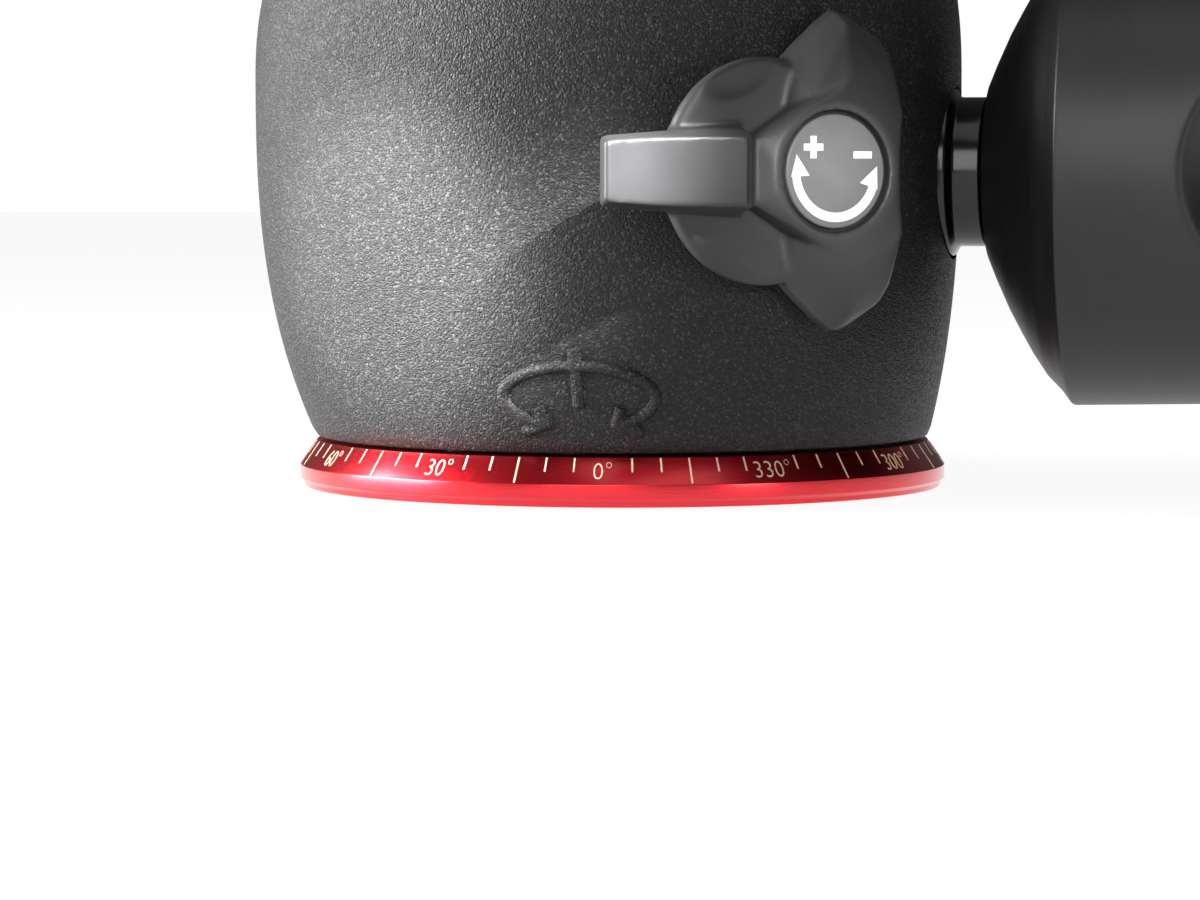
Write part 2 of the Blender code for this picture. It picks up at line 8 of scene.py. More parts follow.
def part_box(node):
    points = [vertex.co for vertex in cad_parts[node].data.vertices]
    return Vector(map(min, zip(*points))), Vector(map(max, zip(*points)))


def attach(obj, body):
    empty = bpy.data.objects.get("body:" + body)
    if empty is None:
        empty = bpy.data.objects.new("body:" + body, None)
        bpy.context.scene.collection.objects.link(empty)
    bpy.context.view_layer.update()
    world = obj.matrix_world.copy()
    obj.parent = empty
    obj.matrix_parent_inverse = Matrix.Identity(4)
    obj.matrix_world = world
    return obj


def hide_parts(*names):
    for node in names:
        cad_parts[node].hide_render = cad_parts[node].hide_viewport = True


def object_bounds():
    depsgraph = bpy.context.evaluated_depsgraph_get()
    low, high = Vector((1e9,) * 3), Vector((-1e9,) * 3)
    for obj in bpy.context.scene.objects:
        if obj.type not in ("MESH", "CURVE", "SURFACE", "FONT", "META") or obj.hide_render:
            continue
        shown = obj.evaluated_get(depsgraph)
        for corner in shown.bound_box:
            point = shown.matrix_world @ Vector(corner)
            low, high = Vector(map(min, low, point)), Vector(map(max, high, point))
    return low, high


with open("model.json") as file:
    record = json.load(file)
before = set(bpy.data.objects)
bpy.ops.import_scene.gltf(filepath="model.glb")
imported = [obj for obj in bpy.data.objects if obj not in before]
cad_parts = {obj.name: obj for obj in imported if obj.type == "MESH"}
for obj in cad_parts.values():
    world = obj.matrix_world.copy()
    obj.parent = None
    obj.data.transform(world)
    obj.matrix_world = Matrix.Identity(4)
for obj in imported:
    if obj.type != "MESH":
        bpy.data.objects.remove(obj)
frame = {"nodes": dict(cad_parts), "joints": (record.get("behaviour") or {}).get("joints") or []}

mm = 0.001
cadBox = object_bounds()
joints = {joint["name"]: joint for joint in frame["joints"]}
scene = bpy.context.scene
scene.view_settings.view_transform = "Standard"

# camera, floor and lights

studio = {
    "cameraDistance": 0.384,   # from the pan axis, metres
    "cameraHeight": 0.0288,
    "lens": 123.5,
    "tiltDown": 3.79,          # degrees
    "turnLeft": 0.312,
    "floorSize": 6.0,
    "snoots": {                # azimuth, elevation, aim, distance, beam, edge, radius, watts
        "keySnoot": (45, 39.5, (-14.8, -29.2, 13.6), 300, 3.3, 1.0, 6, 52),
        "wedgeSnoot": (-35, 8, (-21.0, -25.0, 21.5), 500, 3.6, 0.5, 4, 46),
        "knobSnoot": (15, 10, (18.1, -34.0, 29.3), 300, 3.6, 1.0, 6, 5.5),
    },
}


def setCamera():
    lens = bpy.data.cameras.new("camera")
    lens.lens = studio["lens"]
    lens.sensor_width = 36
    lens.clip_start = 0.02
    camera = bpy.data.objects.new("camera", lens)
    scene.collection.objects.link(camera)
    place = Matrix.Translation((0, -studio["cameraDistance"], studio["cameraHeight"]))
    turn = Matrix.Rotation(math.radians(studio["turnLeft"]), 4, "Z")
    tilt = Matrix.Rotation(math.radians(90 - studio["tiltDown"]), 4, "X")
    camera.matrix_world = place @ turn @ tilt
    scene.camera = camera


def addLight(name, azimuth, height, distance, size, watts, aim=(0, 0, 0.03)):
    # azimuth counts from the front towards the right
    angle = math.radians(azimuth)
    spot = Vector((math.sin(angle) * distance, -math.cos(angle) * distance, height))
    light = bpy.data.lights.new(name, "AREA")
    light.shape = "RECTANGLE"
    light.size, light.size_y = size
    light.energy = watts
    lamp = bpy.data.objects.new(name, light)
    scene.collection.objects.link(lamp)
    lamp.location = spot
    lamp.rotation_euler = (Vector(aim) - spot).to_track_quat("-Z", "Y").to_euler()
    return light


def addSnoot(name, azimuth, elevation, aim, distance, beam, edge, radius, watts):
    # narrow beam; the one from the upper right throws the long arm's shadow down to the left
    angle, rise = math.radians(azimuth), math.radians(elevation)
    toLight = Vector((math.sin(angle) * math.cos(rise), -math.cos(angle) * math.cos(rise),
                      math.sin(rise)))
    light = bpy.data.lights.new(name, "SPOT")
    light.energy = watts
    light.spot_size = math.radians(beam)
    light.spot_blend = edge
    light.shadow_soft_size = radius * mm
    lamp = bpy.data.objects.new(name, light)
    scene.collection.objects.link(lamp)
    lamp.location = (Vector(aim) + toLight * distance) * mm
    lamp.rotation_euler = toLight.to_track_quat("Z", "Y").to_euler()


setCamera()

# materials


def hexColor(code):
    parts = [int(code[i:i + 2], 16) / 255 for i in (1, 3, 5)]
    return [c / 12.92 if c <= 0.04045 else ((c + 0.055) / 1.055) ** 2.4 for c in parts] + [1.0]


def addNode(tree, kind, links=(), **settings):
    # settings that name an input fill it in, the rest are the node's own; links feed inputs
    made = tree.nodes.new(kind)
    for key, value in settings.items():
        if hasattr(made, key):
            setattr(made, key, value)
        else:
            made.inputs[key.replace("_", " ").title()].default_value = value
    for key, source in dict(links).items():
        tree.links.new(source, made.inputs[key])
    return made


def startMaterial(name, color, roughness, metallic=0.0, **more):
    material = bpy.data.materials.new(name)
    material.use_nodes = True
    tree = material.node_tree
    shader = tree.nodes["Principled BSDF"]
    shader.inputs["Base Color"].default_value = hexColor(color)
    shader.inputs["Roughness"].default_value = roughness
    shader.inputs["Metallic"].default_value = metallic
    for key, value in more.items():
        shader.inputs[key.replace("_", " ")].default_value = value
    material.diffuse_color = hexColor(color)
    return material, tree, shader


def objectPlace(tree, scale=(1, 1, 1)):
    where = addNode(tree, "ShaderNodeTexCoord")
    return addNode(tree, "ShaderNodeMapping", {"Vector": where.outputs["Object"]},
                   Scale=scale).outputs["Vector"]


def addBump(tree, shader, height, strength, distance):
    bump = addNode(tree, "ShaderNodeBump", {"Height": height}, Strength=strength,
                   Distance=distance)
    tree.links.new(bump.outputs["Normal"], shader.inputs["Normal"])
    return bump


def colorSteps(tree, source, stops):
    ramp = addNode(tree, "ShaderNodeValToRGB", {"Fac": source})
    while len(ramp.color_ramp.elements) < len(stops):
        ramp.color_ramp.elements.new(0.5)
    for element, (position, code) in zip(ramp.color_ramp.elements, stops):
        element.position = position
        element.color = hexColor(code)
    return ramp.outputs["Color"]


def texturedPowderCoat():
    # black fine-texture powder coat on cast magnesium: sandy grit of about 0.3 mm that glints; the
    # lighter random cells in the base colour are painted glints
    material, tree, shader = startMaterial("texturedPowderCoat", "#232324", 0.5,
                                           Specular_IOR_Level=0.3)
    place = objectPlace(tree)
    grit = addNode(tree, "ShaderNodeTexNoise", {"Vector": place}, Scale=1 / (0.3 * mm),
                   Detail=2.0, Roughness=0.6)
    lumps = addNode(tree, "ShaderNodeTexVoronoi", {"Vector": place}, Scale=1 / (0.18 * mm))
    both = addNode(tree, "ShaderNodeMath", {0: grit.outputs["Fac"], 1: lumps.outputs["Distance"]},
                   operation="SUBTRACT")
    addBump(tree, shader, both.outputs[0], 1.0, 0.085 * mm)
    # random cells: their lighter greys in the base colour are painted glints, their green channel
    # varies the roughness
    glint_cells = addNode(tree, "ShaderNodeSeparateColor", {0: lumps.outputs["Color"]})
    shade = colorSteps(tree, glint_cells.outputs["Red"],
                       [(0.0, "#1c1c1d"), (0.7, "#262627"), (0.86, "#323233"), (1.0, "#505052")])
    tree.links.new(shade, shader.inputs["Base Color"])
    gloss = addNode(tree, "ShaderNodeMapRange", {"Value": glint_cells.outputs["Green"]},
                    From_Min=0.0, From_Max=1.0, To_Min=0.62, To_Max=0.36)
    tree.links.new(gloss.outputs["Result"], shader.inputs["Roughness"])
    return material


def redAnodisedAluminium():
    # turned 6061, dyed red and sealed: satin metal with fine tool lines round the axis
    material, tree, shader = startMaterial("redAnodisedAluminium", "#e01226", 0.27, 1.0,
                                           Coat_Weight=1.0, Coat_Roughness=0.2)
    lines = addNode(tree, "ShaderNodeTexNoise", {"Vector": objectPlace(tree, (1, 1, 40))},
                    Scale=1 / (3.0 * mm), Detail=4.0, Roughness=0.7)
    addBump(tree, shader, lines.outputs["Fac"], 0.25, 0.05 * mm)
    shade = colorSteps(tree, lines.outputs["Fac"], [(0.3, "#d80e20"), (0.7, "#f0182c")])
    tree.links.new(shade, shader.inputs["Base Color"])
    return material


def creamInk():
    # filled engraving: flat cream enamel
    material, tree, shader = startMaterial("creamInk", "#f3e2b6", 0.5)
    wear = addNode(tree, "ShaderNodeTexNoise", {"Vector": objectPlace(tree)}, Scale=1 / (0.5 * mm))
    shade = colorSteps(tree, wear.outputs["Fac"], [(0.3, "#e6cf98"), (0.6, "#f7ead0")])
    tree.links.new(shade, shader.inputs["Base Color"])
    return material


def mouldedNylon(name, dark, light, roughness, grain=0.12):
    # glass-filled nylon, spark-eroded mould: matt grey-black with a fine even grain
    material, tree, shader = startMaterial(name, dark, roughness)
    place = objectPlace(tree)
    fine = addNode(tree, "ShaderNodeTexNoise", {"Vector": place}, Scale=1 / (grain * mm),
                   Detail=2.0, Roughness=0.6)
    broad = addNode(tree, "ShaderNodeTexNoise", {"Vector": place}, Scale=1 / (6 * mm), Detail=3.0)
    shade = colorSteps(tree, broad.outputs["Fac"], [(0.35, dark), (0.65, light)])
    tree.links.new(shade, shader.inputs["Base Color"])
    addBump(tree, shader, fine.outputs["Fac"], 0.35, 0.04 * mm)
    return material


def machinedMetal(name, dark, light, roughness, stretch=(1, 1, 30), metallic=1.0):
    # cut metal: brushed or turned lines along one direction and a little cloudiness
    material, tree, shader = startMaterial(name, light, roughness, metallic)
    lines = addNode(tree, "ShaderNodeTexNoise", {"Vector": objectPlace(tree, stretch)},
                    Scale=1 / (4 * mm), Detail=5.0, Roughness=0.7)
    shade = colorSteps(tree, lines.outputs["Fac"], [(0.3, dark), (0.7, light)])
    tree.links.new(shade, shader.inputs["Base Color"])
    addBump(tree, shader, lines.outputs["Fac"], 0.15, 0.03 * mm)
    return material


def glossBlackAnodise():
    # hard-anodised and polished: near-black mirror with faint wipe marks
    material, tree, shader = startMaterial("glossBlackAnodise", "#0c0c0d", 0.16, 0.0)
    wipe = addNode(tree, "ShaderNodeTexNoise", {"Vector": objectPlace(tree)}, Scale=1 / (5 * mm),
                   Detail=4.0)
    gloss = addNode(tree, "ShaderNodeMapRange", {"Value": wipe.outputs["Fac"]},
                    To_Min=0.12, To_Max=0.24)
    tree.links.new(gloss.outputs["Result"], shader.inputs["Roughness"])
    return material


def ribbedRubber():
    # moulded neoprene: soft black with a dusty bloom
    material, tree, shader = startMaterial("ribbedRubber", "#1d1d1e", 0.8)
    grain = addNode(tree, "ShaderNodeTexNoise", {"Vector": objectPlace(tree)},
                    Scale=1 / (0.3 * mm), Detail=3.0)
    shade = colorSteps(tree, grain.outputs["Fac"], [(0.3, "#19191a"), (0.7, "#262627")])
    tree.links.new(shade, shader.inputs["Base Color"])
    addBump(tree, shader, grain.outputs["Fac"], 0.4, 0.05 * mm)
    return material


def vialAcrylic():
    # clear acrylic over green spirit
    material, tree, shader = startMaterial("vialAcrylic", "#a8c930", 0.06, 0.0,
                                           Transmission_Weight=0.35)
    swirl = addNode(tree, "ShaderNodeTexNoise", {"Vector": objectPlace(tree)}, Scale=1 / (4 * mm))
    shade = colorSteps(tree, swirl.outputs["Fac"], [(0.3, "#9cc022"), (0.7, "#b6d648")])
    tree.links.new(shade, shader.inputs["Base Color"])
    return material


def padPrint(name, dark, light):
    # ink or a flat moulded insert: smooth satin colour
    material, tree, shader = startMaterial(name, light, 0.42)
    cloud = addNode(tree, "ShaderNodeTexNoise", {"Vector": objectPlace(tree)}, Scale=1 / (2 * mm),
                    Detail=2.0)
    shade = colorSteps(tree, cloud.outputs["Fac"], [(0.3, dark), (0.7, light)])
    tree.links.new(shade, shader.inputs["Base Color"])
    return material


powderCoat = texturedPowderCoat()
redMetal = redAnodisedAluminium()
cream = creamInk()
nylon = mouldedNylon("mouldedNylon", "#343435", "#3c3c3d", 0.42)
darkNylon = mouldedNylon("darkMouldedNylon", "#202021", "#262627", 0.42)
aluminium = machinedMetal("machinedAluminium", "#a9abae", "#c3c5c8", 0.32)
zincSteel = machinedMetal("zincPlatedSteel", "#8e9094", "#b2b4b8", 0.3)
turnedBrass = machinedMetal("turnedBrass", "#b08a3c", "#cda653", 0.3)
naturalAcetal = padPrint("naturalAcetal", "#d8d4c8", "#e4e0d6")
blackAcetal = padPrint("blackAcetal", "#161617", "#1c1c1d")
blackAnodise = glossBlackAnodise()
rubber = ribbedRubber()
acrylic = vialAcrylic()
greyInsert = padPrint("greyInsert", "#6e6e6f", "#747475")
whiteInk = padPrint("whiteInk", "#f2f2f2", "#fbfbfb")
print("materials ready")

# shape tools, all in millimetres


def softened(corners, arcPoints=5):
    # corners are (x, y) or (x, y, radius); a radius turns the corner into an arc
    path = []
    for i, corner in enumerate(corners):
        here = Vector(corner[:2])
        radius = corner[2] if len(corner) > 2 else 0
        if not radius:
            path.append(tuple(here))
            continue
        back = (Vector(corners[i - 1][:2]) - here).normalized()
        ahead = (Vector(corners[(i + 1) % len(corners)][:2]) - here).normalized()
        half = back.angle(ahead) / 2
        middle = here + (back + ahead).normalized() * radius / math.sin(half)
        start = here + back * radius / math.tan(half) - middle
        end = here + ahead * radius / math.tan(half) - middle
        first = math.atan2(start.y, start.x)
        sweep = (math.atan2(end.y, end.x) - first + math.pi) % math.tau - math.pi
        for k in range(arcPoints + 1):
            angle = first + sweep * k / arcPoints
            path.append((middle.x + radius * math.cos(angle),
                         middle.y + radius * math.sin(angle)))
    return path


def turnedShape(profile, steps=96):
    # profile in (radius, height), outer side downwards; closed unless both ends are on the axis
    shape = bmesh.new()
    ends = [shape.verts.new((radius, 0, height)) for radius, height in profile]
    open_ = profile[0][0] < 1e-6 and profile[-1][0] < 1e-6
    after = ends[1:] if open_ else ends[1:] + ends[:1]
    rims = [shape.edges.new(pair) for pair in zip(ends, after)]
    bmesh.ops.spin(shape, geom=ends + rims, cent=(0, 0, 0), axis=(0, 0, 1), angle=math.tau,
                   steps=steps, use_merge=True, use_duplicate=False)
    bmesh.ops.remove_doubles(shape, verts=shape.verts, dist=1e-4)
    bmesh.ops.recalc_face_normals(shape, faces=shape.faces)
    return shape


def boxShape(low, high, rounding=0.0, segments=3):
    shape = bmesh.new()
    bmesh.ops.create_cube(shape, size=1)
    bmesh.ops.scale(shape, vec=Vector(high) - Vector(low), verts=shape.verts)
    bmesh.ops.translate(shape, vec=(Vector(high) + Vector(low)) / 2, verts=shape.verts)
    if rounding:
        bmesh.ops.bevel(shape, geom=shape.edges, offset=rounding, segments=segments,
                        affect="EDGES", profile=0.5, material=-1)
    return shape


def drawnShape(outline, low, high, rounding=0.0, segments=2):
    # flat outline in X and Y, drawn from low to high along Z
    shape = bmesh.new()
    face = shape.faces.new([shape.verts.new((x, y, low)) for x, y in outline])
    grown = bmesh.ops.extrude_face_region(shape, geom=[face])["geom"]
    lifted = [item for item in grown if isinstance(item, bmesh.types.BMVert)]
    bmesh.ops.translate(shape, vec=(0, 0, high - low), verts=lifted)
    bmesh.ops.recalc_face_normals(shape, faces=shape.faces)
    if rounding:
        rims = [edge for edge in shape.edges if edge.calc_face_angle(0) > math.radians(30)]
        bmesh.ops.bevel(shape, geom=rims, offset=rounding, segments=segments, affect="EDGES",
                        profile=0.5, material=-1)
    return shape


def hullShape(points):
    shape = bmesh.new()
    for point in points:
        shape.verts.new(point)
    bmesh.ops.convex_hull(shape, input=shape.verts)
    bmesh.ops.recalc_face_normals(shape, faces=shape.faces)
    return shape


def ballShape(radius, centre, across=48, down=24):
    shape = bmesh.new()
    bmesh.ops.create_uvsphere(shape, u_segments=across, v_segments=down, radius=radius)
    bmesh.ops.translate(shape, vec=centre, verts=shape.verts)
    return shape


def moved(shape, place):
    bmesh.ops.transform(shape, matrix=place, verts=shape.verts)
    return shape


def joined(shapes):
    whole = bmesh.new()
    for part in shapes:
        carrier = bpy.data.meshes.new("carrier")
        part.to_mesh(carrier)
        part.free()
        whole.from_mesh(carrier)
        bpy.data.meshes.remove(carrier)
    return whole


def asObject(name, shape):
    bmesh.ops.scale(shape, vec=(mm, mm, mm), verts=shape.verts)
    mesh = bpy.data.meshes.new(name)
    shape.to_mesh(mesh)
    shape.free()
    piece = bpy.data.objects.new(name, mesh)
    scene.collection.objects.link(piece)
    return piece


def settle(piece):
    # turns live modifiers into plain mesh
    graph = bpy.context.evaluated_depsgraph_get()
    plain = bpy.data.meshes.new_from_object(piece.evaluated_get(graph))
    piece.modifiers.clear()
    old, piece.data = piece.data, plain
    bpy.data.meshes.remove(old)


def carve(piece, shape, operation="DIFFERENCE"):
    tool = asObject("tool", shape)
    step = piece.modifiers.new("carve", "BOOLEAN")
    step.operation = operation
    step.solver = "EXACT"
    step.object = tool
    settle(piece)
    bpy.data.objects.remove(tool)


def remeshed(piece, voxel, smoothing):
    step = piece.modifiers.new("skin", "REMESH")
    step.mode = "VOXEL"
    step.voxel_size = voxel * mm
    relax = piece.modifiers.new("relax", "SMOOTH")
    relax.factor = 0.5
    relax.iterations = smoothing
    settle(piece)


def finish(piece, material, body, replaces=(), sharp=32):
    piece.data.materials.clear()
    piece.data.materials.append(material)
    piece.data.shade_smooth()
    if sharp:
        piece.data.set_sharp_from_angle(angle=math.radians(sharp))
    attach(piece, body)
    if replaces:
        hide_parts(*replaces)
    return piece


def outwards(azimuth, height):
    # millimetre frame on the pan axis: Z points out at the azimuth, Y points up
    angle = math.radians(azimuth)
    out = Vector((math.sin(angle), -math.cos(angle), 0))
    up = Vector((0, 0, 1))
    place = Matrix((up.cross(out), up, out)).transposed().to_4x4()
    place.translation = (0, 0, height)
    return place


def azimuthOf(jointName):
    # knobs turn clockwise about an axis that points inwards
    x, y, _ = joints[jointName]["axis"]
    return math.degrees(math.atan2(-x, y))


def knobPlace(jointName):
    # the knob's own frame: at the joint's height, Z outwards
    return outwards(azimuthOf(jointName), round(joints[jointName]["pos_m"][2] / mm, 3))


def boxOf(node):
    low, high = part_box(node)
    return low / mm, high / mm


# degree ring

ringValues = {
    "topRadius": 28.4,
    "ridgeHeight": 2.3,
    "zeroAzimuth": -3.3,       # where the zero stands, degrees from the front
    "tickWidth": 0.15,
    "shortTick": 0.5,          # share of the slope
    "longTick": 0.92,
    "numberSize": 2.45,
    "numberRadius": 29.2,      # where the numbers' baseline curves
    "numberWidth": 0.84,
    "numberThin": 0.04,        # taken off each side of a stroke
    "ink": 0.03,
}


def makeDegreeRing():
    low, high = boxOf("scale_ring")
    radius, top, ridge = high.x, high.z, ringValues["ridgeHeight"]
    profile = softened([(25.5, top), (ringValues["topRadius"], top, 0.12), (radius, ridge, 0.1),
                        (radius, 1.1, 0.12), (29.6, 0.75, 0.1), (29.6, low.z, 0.15),
                        (25.5, low.z)], 3)
    ring = asObject("degreeRing", turnedShape(profile, 240))
    finish(ring, redMetal, "base", ["scale_ring"], 30)


def coneFrame(azimuth, down):
    # on the slope of the ring: X along the rim, Y up the slope, Z out; down is from the top edge
    low, high = boxOf("scale_ring")
    radius, top, ridge = high.x, high.z, ringValues["ridgeHeight"]
    slope = Vector((radius - ringValues["topRadius"], ridge - top))
    length = slope.length
    slope.normalize()
    angle = math.radians(azimuth)
    out = Vector((math.sin(angle), -math.cos(angle), 0))
    rim = Vector((math.cos(angle), math.sin(angle), 0))
    up = -(out * slope.x + Vector((0, 0, slope.y)))
    place = Matrix((rim, up, rim.cross(up))).transposed().to_4x4()
    at = out * ringValues["topRadius"] + Vector((0, 0, top)) - up * down
    place.translation = at
    return place, length


def makeDegreeMarks():
    marks = []
    _, slope = coneFrame(0, 0)
    for degrees in range(0, 360, 5):
        if degrees % 30 == 0:
            continue
        share = ringValues["longTick"] if degrees % 15 == 0 else ringValues["shortTick"]
        length = slope * share
        place, _ = coneFrame(ringValues["zeroAzimuth"] - degrees, 0.1 + length / 2)
        half = ringValues["tickWidth"] / 2
        bar = boxShape((-half, -length / 2, -0.06), (half, length / 2, ringValues["ink"]))
        marks.append(moved(bar, place))
    for degrees in range(0, 360, 30):
        text = bpy.data.curves.new("number", "FONT")
        text.body = f"{degrees}°"
        text.size = ringValues["numberSize"]
        text.align_x = "CENTER"
        text.align_y = "CENTER"
        text.extrude = 0.045
        text.offset = -ringValues["numberThin"]
        text.resolution_u = 3
        letters = bpy.data.objects.new("number", text)
        scene.collection.objects.link(letters)
        graph = bpy.context.evaluated_depsgraph_get()
        mesh = bpy.data.meshes.new_from_object(letters.evaluated_get(graph))
        bpy.data.objects.remove(letters)
        shape = bmesh.new()
        shape.from_mesh(mesh)
        bpy.data.meshes.remove(mesh)
        bmesh.ops.remove_doubles(shape, verts=shape.verts, dist=1e-5)
        for vert in shape.verts:
            across, up, out = vert.co
            across *= ringValues["numberWidth"]
            azimuth = ringValues["zeroAzimuth"] - degrees
            azimuth += math.degrees(across / ringValues["numberRadius"])
            place, _ = coneFrame(azimuth, slope * 0.54 - up)
            vert.co = place @ Vector((0, 0, out - 0.015))
        marks.append(shape)
    piece = asObject("degreeMarks", joined(marks))
    finish(piece, cream, "base", (), 30)


makeDegreeRing()
makeDegreeMarks()
print("degree ring made")

# housing

housingValues = {
    "radius": 32.7,            # mean radius at the waist
    "seatRadius": 21.3,        # spherical seat round the ball
    "notchRadius": 7.9,
    "waist": 38.0,
    "flare": 4.15,
    "flareReach": 33.0,        # height over which the foot draws in
    "shoulderReach": 20.0,
    "leanReach": 23.0,
    "lean": 1.3,
    "shoulder": 5.2,
    "symbolAzimuth": -6.5,
    "symbolHeight": 9.9,
    "symbolStroke": 0.6,
    "passages": [              # shaft bores: joint, radius, how far in they reach
        ("main_knob_turn", 5.8, 18.0), ("main_knob_turn", 7.3, 26.4),
        ("main_knob_turn", 8.0, 29.9), ("friction_knob_turn", 4.7, 18.0),
        ("pan_knob_turn", 2.6, 8.0), ("pan_knob_turn", 4.5, 24.4)],
}


def bodyRadius(height):
    below = max(0.0, (housingValues["waist"] - height) / housingValues["flareReach"])
    above = max(0.0, (height - housingValues["waist"]) / housingValues["shoulderReach"])
    return (housingValues["radius"] - housingValues["flare"] * below ** 2.8
            - housingValues["shoulder"] * above ** 2.2)


def bodyLean(height):
    below = max(0.0, (housingValues["waist"] - height) / housingValues["flareReach"])
    above = max(0.0, (height - housingValues["waist"]) / housingValues["leanReach"])
    return -housingValues["lean"] * (1.0 - min(1.0, below ** 2.6 + above ** 2.0))


def onBody(azimuth, height, lift=0.0):
    angle = math.radians(azimuth)
    reach = bodyRadius(height) + lift
    return Vector((math.sin(angle) * reach + bodyLean(height), -math.cos(angle) * reach, height))


def notchShape(inner):
    # round-bottomed slot on the left, for the stem lying level
    ball = boxOf("ball")
    middle = (ball[0].z + ball[1].z) / 2
    radius = housingValues["notchRadius"]
    steps = 28
    outline = [(middle + radius * math.sin(math.pi * i / steps + math.pi),
                radius * math.cos(math.pi * i / steps + math.pi)) for i in range(steps + 1)]
    outline += [(80, radius), (80, -radius)]
    shape = drawnShape(outline, inner, 45)
    turn = Matrix(((0, 0, -1, 0), (0, 1, 0, 0), (1, 0, 0, 0), (0, 0, 0, 1)))
    moved(shape, turn)
    bmesh.ops.recalc_face_normals(shape, faces=shape.faces)
    return shape


def makeHousing():
    low, high = boxOf("housing")
    levels = 60
    side = []
    for i in range(levels + 1):
        height = high.z + (low.z - high.z) * i / levels
        side.append((bodyRadius(height), height))
    side[0] = (side[0][0] - 0.5, high.z)
    side.insert(1, (bodyRadius(high.z) - 0.15, high.z - 0.15))
    side[-1] = (side[-1][0] - 0.35, low.z)
    side.insert(-1, (bodyRadius(low.z) - 0.08, low.z + 0.15))
    inner = [(21.4, low.z), (21.4, 8.6), (12.6, 8.6), (12.6, 24.5), (21.3, 24.5), (21.3, 55.0),
             (23.5, 55.0), (23.5, high.z)]
    shape = turnedShape(side + inner, 192)
    for vert in shape.verts:
        if math.hypot(vert.co.x, vert.co.y) > 24:
            vert.co.x += bodyLean(vert.co.z)
    housing = asObject("barrelHousing", shape)
    carve(housing, notchShape(20.0))
    for joint, radius, depth in housingValues["passages"]:
        hole = turnedShape([(0, 45), (radius, 45), (radius, depth), (0, depth)], 64)
        carve(housing, moved(hole, knobPlace(joint)))
    finish(housing, powderCoat, "housing", ["housing"], 35)


def makePanSymbol():
    # raised double arrow on the foot: the head pans both ways
    half, tall, count = 6.7, 2.7, 44
    points = []
    for i in range(count + 1):
        angle = math.radians(244 - 308 * i / count)
        points.append((half * math.cos(angle), tall * math.sin(angle)))
    strokes = [points, [(0, -0.9), (0, 4.3)]]
    for x, y in (points[0], points[-1]):
        side = math.copysign(1, x)
        strokes.append([(x + side * 0.7, y + 1.6), (x, y), (x + side * 2.3, y - 0.7)])
    curve = bpy.data.curves.new("panSymbol", "CURVE")
    curve.dimensions = "3D"
    curve.bevel_depth = housingValues["symbolStroke"] * mm
    curve.bevel_resolution = 3
    curve.use_fill_caps = True
    for stroke in strokes:
        spline = curve.splines.new("POLY")
        spline.points.add(len(stroke) - 1)
        for point, (across, up) in zip(spline.points, stroke):
            height = housingValues["symbolHeight"] + up
            azimuth = housingValues["symbolAzimuth"] + math.degrees(across / bodyRadius(height))
            point.co = (*(onBody(azimuth, height, -0.12) * mm), 1)
    drawn = bpy.data.objects.new("panSymbolCurve", curve)
    scene.collection.objects.link(drawn)
    graph = bpy.context.evaluated_depsgraph_get()
    mesh = bpy.data.meshes.new_from_object(drawn.evaluated_get(graph))
    bpy.data.objects.remove(drawn)
    shape = bmesh.new()
    shape.from_mesh(mesh)
    bmesh.ops.remove_doubles(shape, verts=shape.verts, dist=1e-6)
    bmesh.ops.scale(shape, vec=(1 / mm, 1 / mm, 1 / mm), verts=shape.verts)
    piece = asObject("panSymbol", shape)
    remeshed(piece, 0.14, 3)
    finish(piece, powderCoat, "housing", ())


def makeCollar():
    low, high = boxOf("top_collar")
    middle = sum(corner.z for corner in boxOf("ball")) / 2
    reach = housingValues["seatRadius"]
    seat = [(math.sqrt(reach ** 2 - (height - middle) ** 2), height)
            for height in (low.z, low.z + 1.2, high.z - 0.3)]
    profile = softened([(20.5, high.z, 0.3), (24.0, high.z, 0.8), (25.2, high.z - 1.2, 0.6),
                        (25.6, low.z, 0.15)], 4) + seat
    collar = asObject("collarRing", turnedShape(profile, 160))
    carve(collar, notchShape(15.0))
    finish(collar, blackAnodise, "housing", ["top_collar"])

    neck = turnedShape(softened([(4.0, 34.2), (6.8, 34.2, 0.3), (6.8, 31.6, 0.5),
                                 (7.7, 31.1, 0.4), (7.7, 30.3), (7.0, 30.0), (7.0, 26.7),
                                 (4.0, 26.7)], 4), 96)
    piece = asObject("neckCollar", moved(neck, knobPlace("main_knob_turn")))
    finish(piece, blackAnodise, "housing", ["main_neck"])


makeHousing()
makePanSymbol()
makeCollar()
print("housing made")

# lock knob and pan knob

lockKnobValues = {
    "profile": [(9.3, 61.2), (9.3, 64.0, 0.3), (20.2, 64.0, 1.2), (20.85, 60.0),
                (21.2, 42.3, 0.4), (20.0, 41.4), (18.7, 40.1), (16.8, 38.8), (14.9, 37.7),
                (12.9, 36.6), (10.1, 35.3), (8.2, 34.5, 0.2), (3.9, 34.5)],
    "scoops": 3,
    "scoopCentre": (29.0, 69.4),
    "scoopRadius": 18.0,
    "rim": 0.35,
}
panKnobValues = {
    "profile": [(4.4, 41.6), (4.4, 42.8, 0.2), (7.7, 42.8, 0.7), (8.4, 41.6), (8.4, 36.0, 0.6),
                (6.0, 33.2, 0.4), (2.5, 33.2)],
    "scoops": 3,
    "scoopCentre": (12.6, 42.2),
    "scoopRadius": 6.5,
    "rim": 0.3,
}


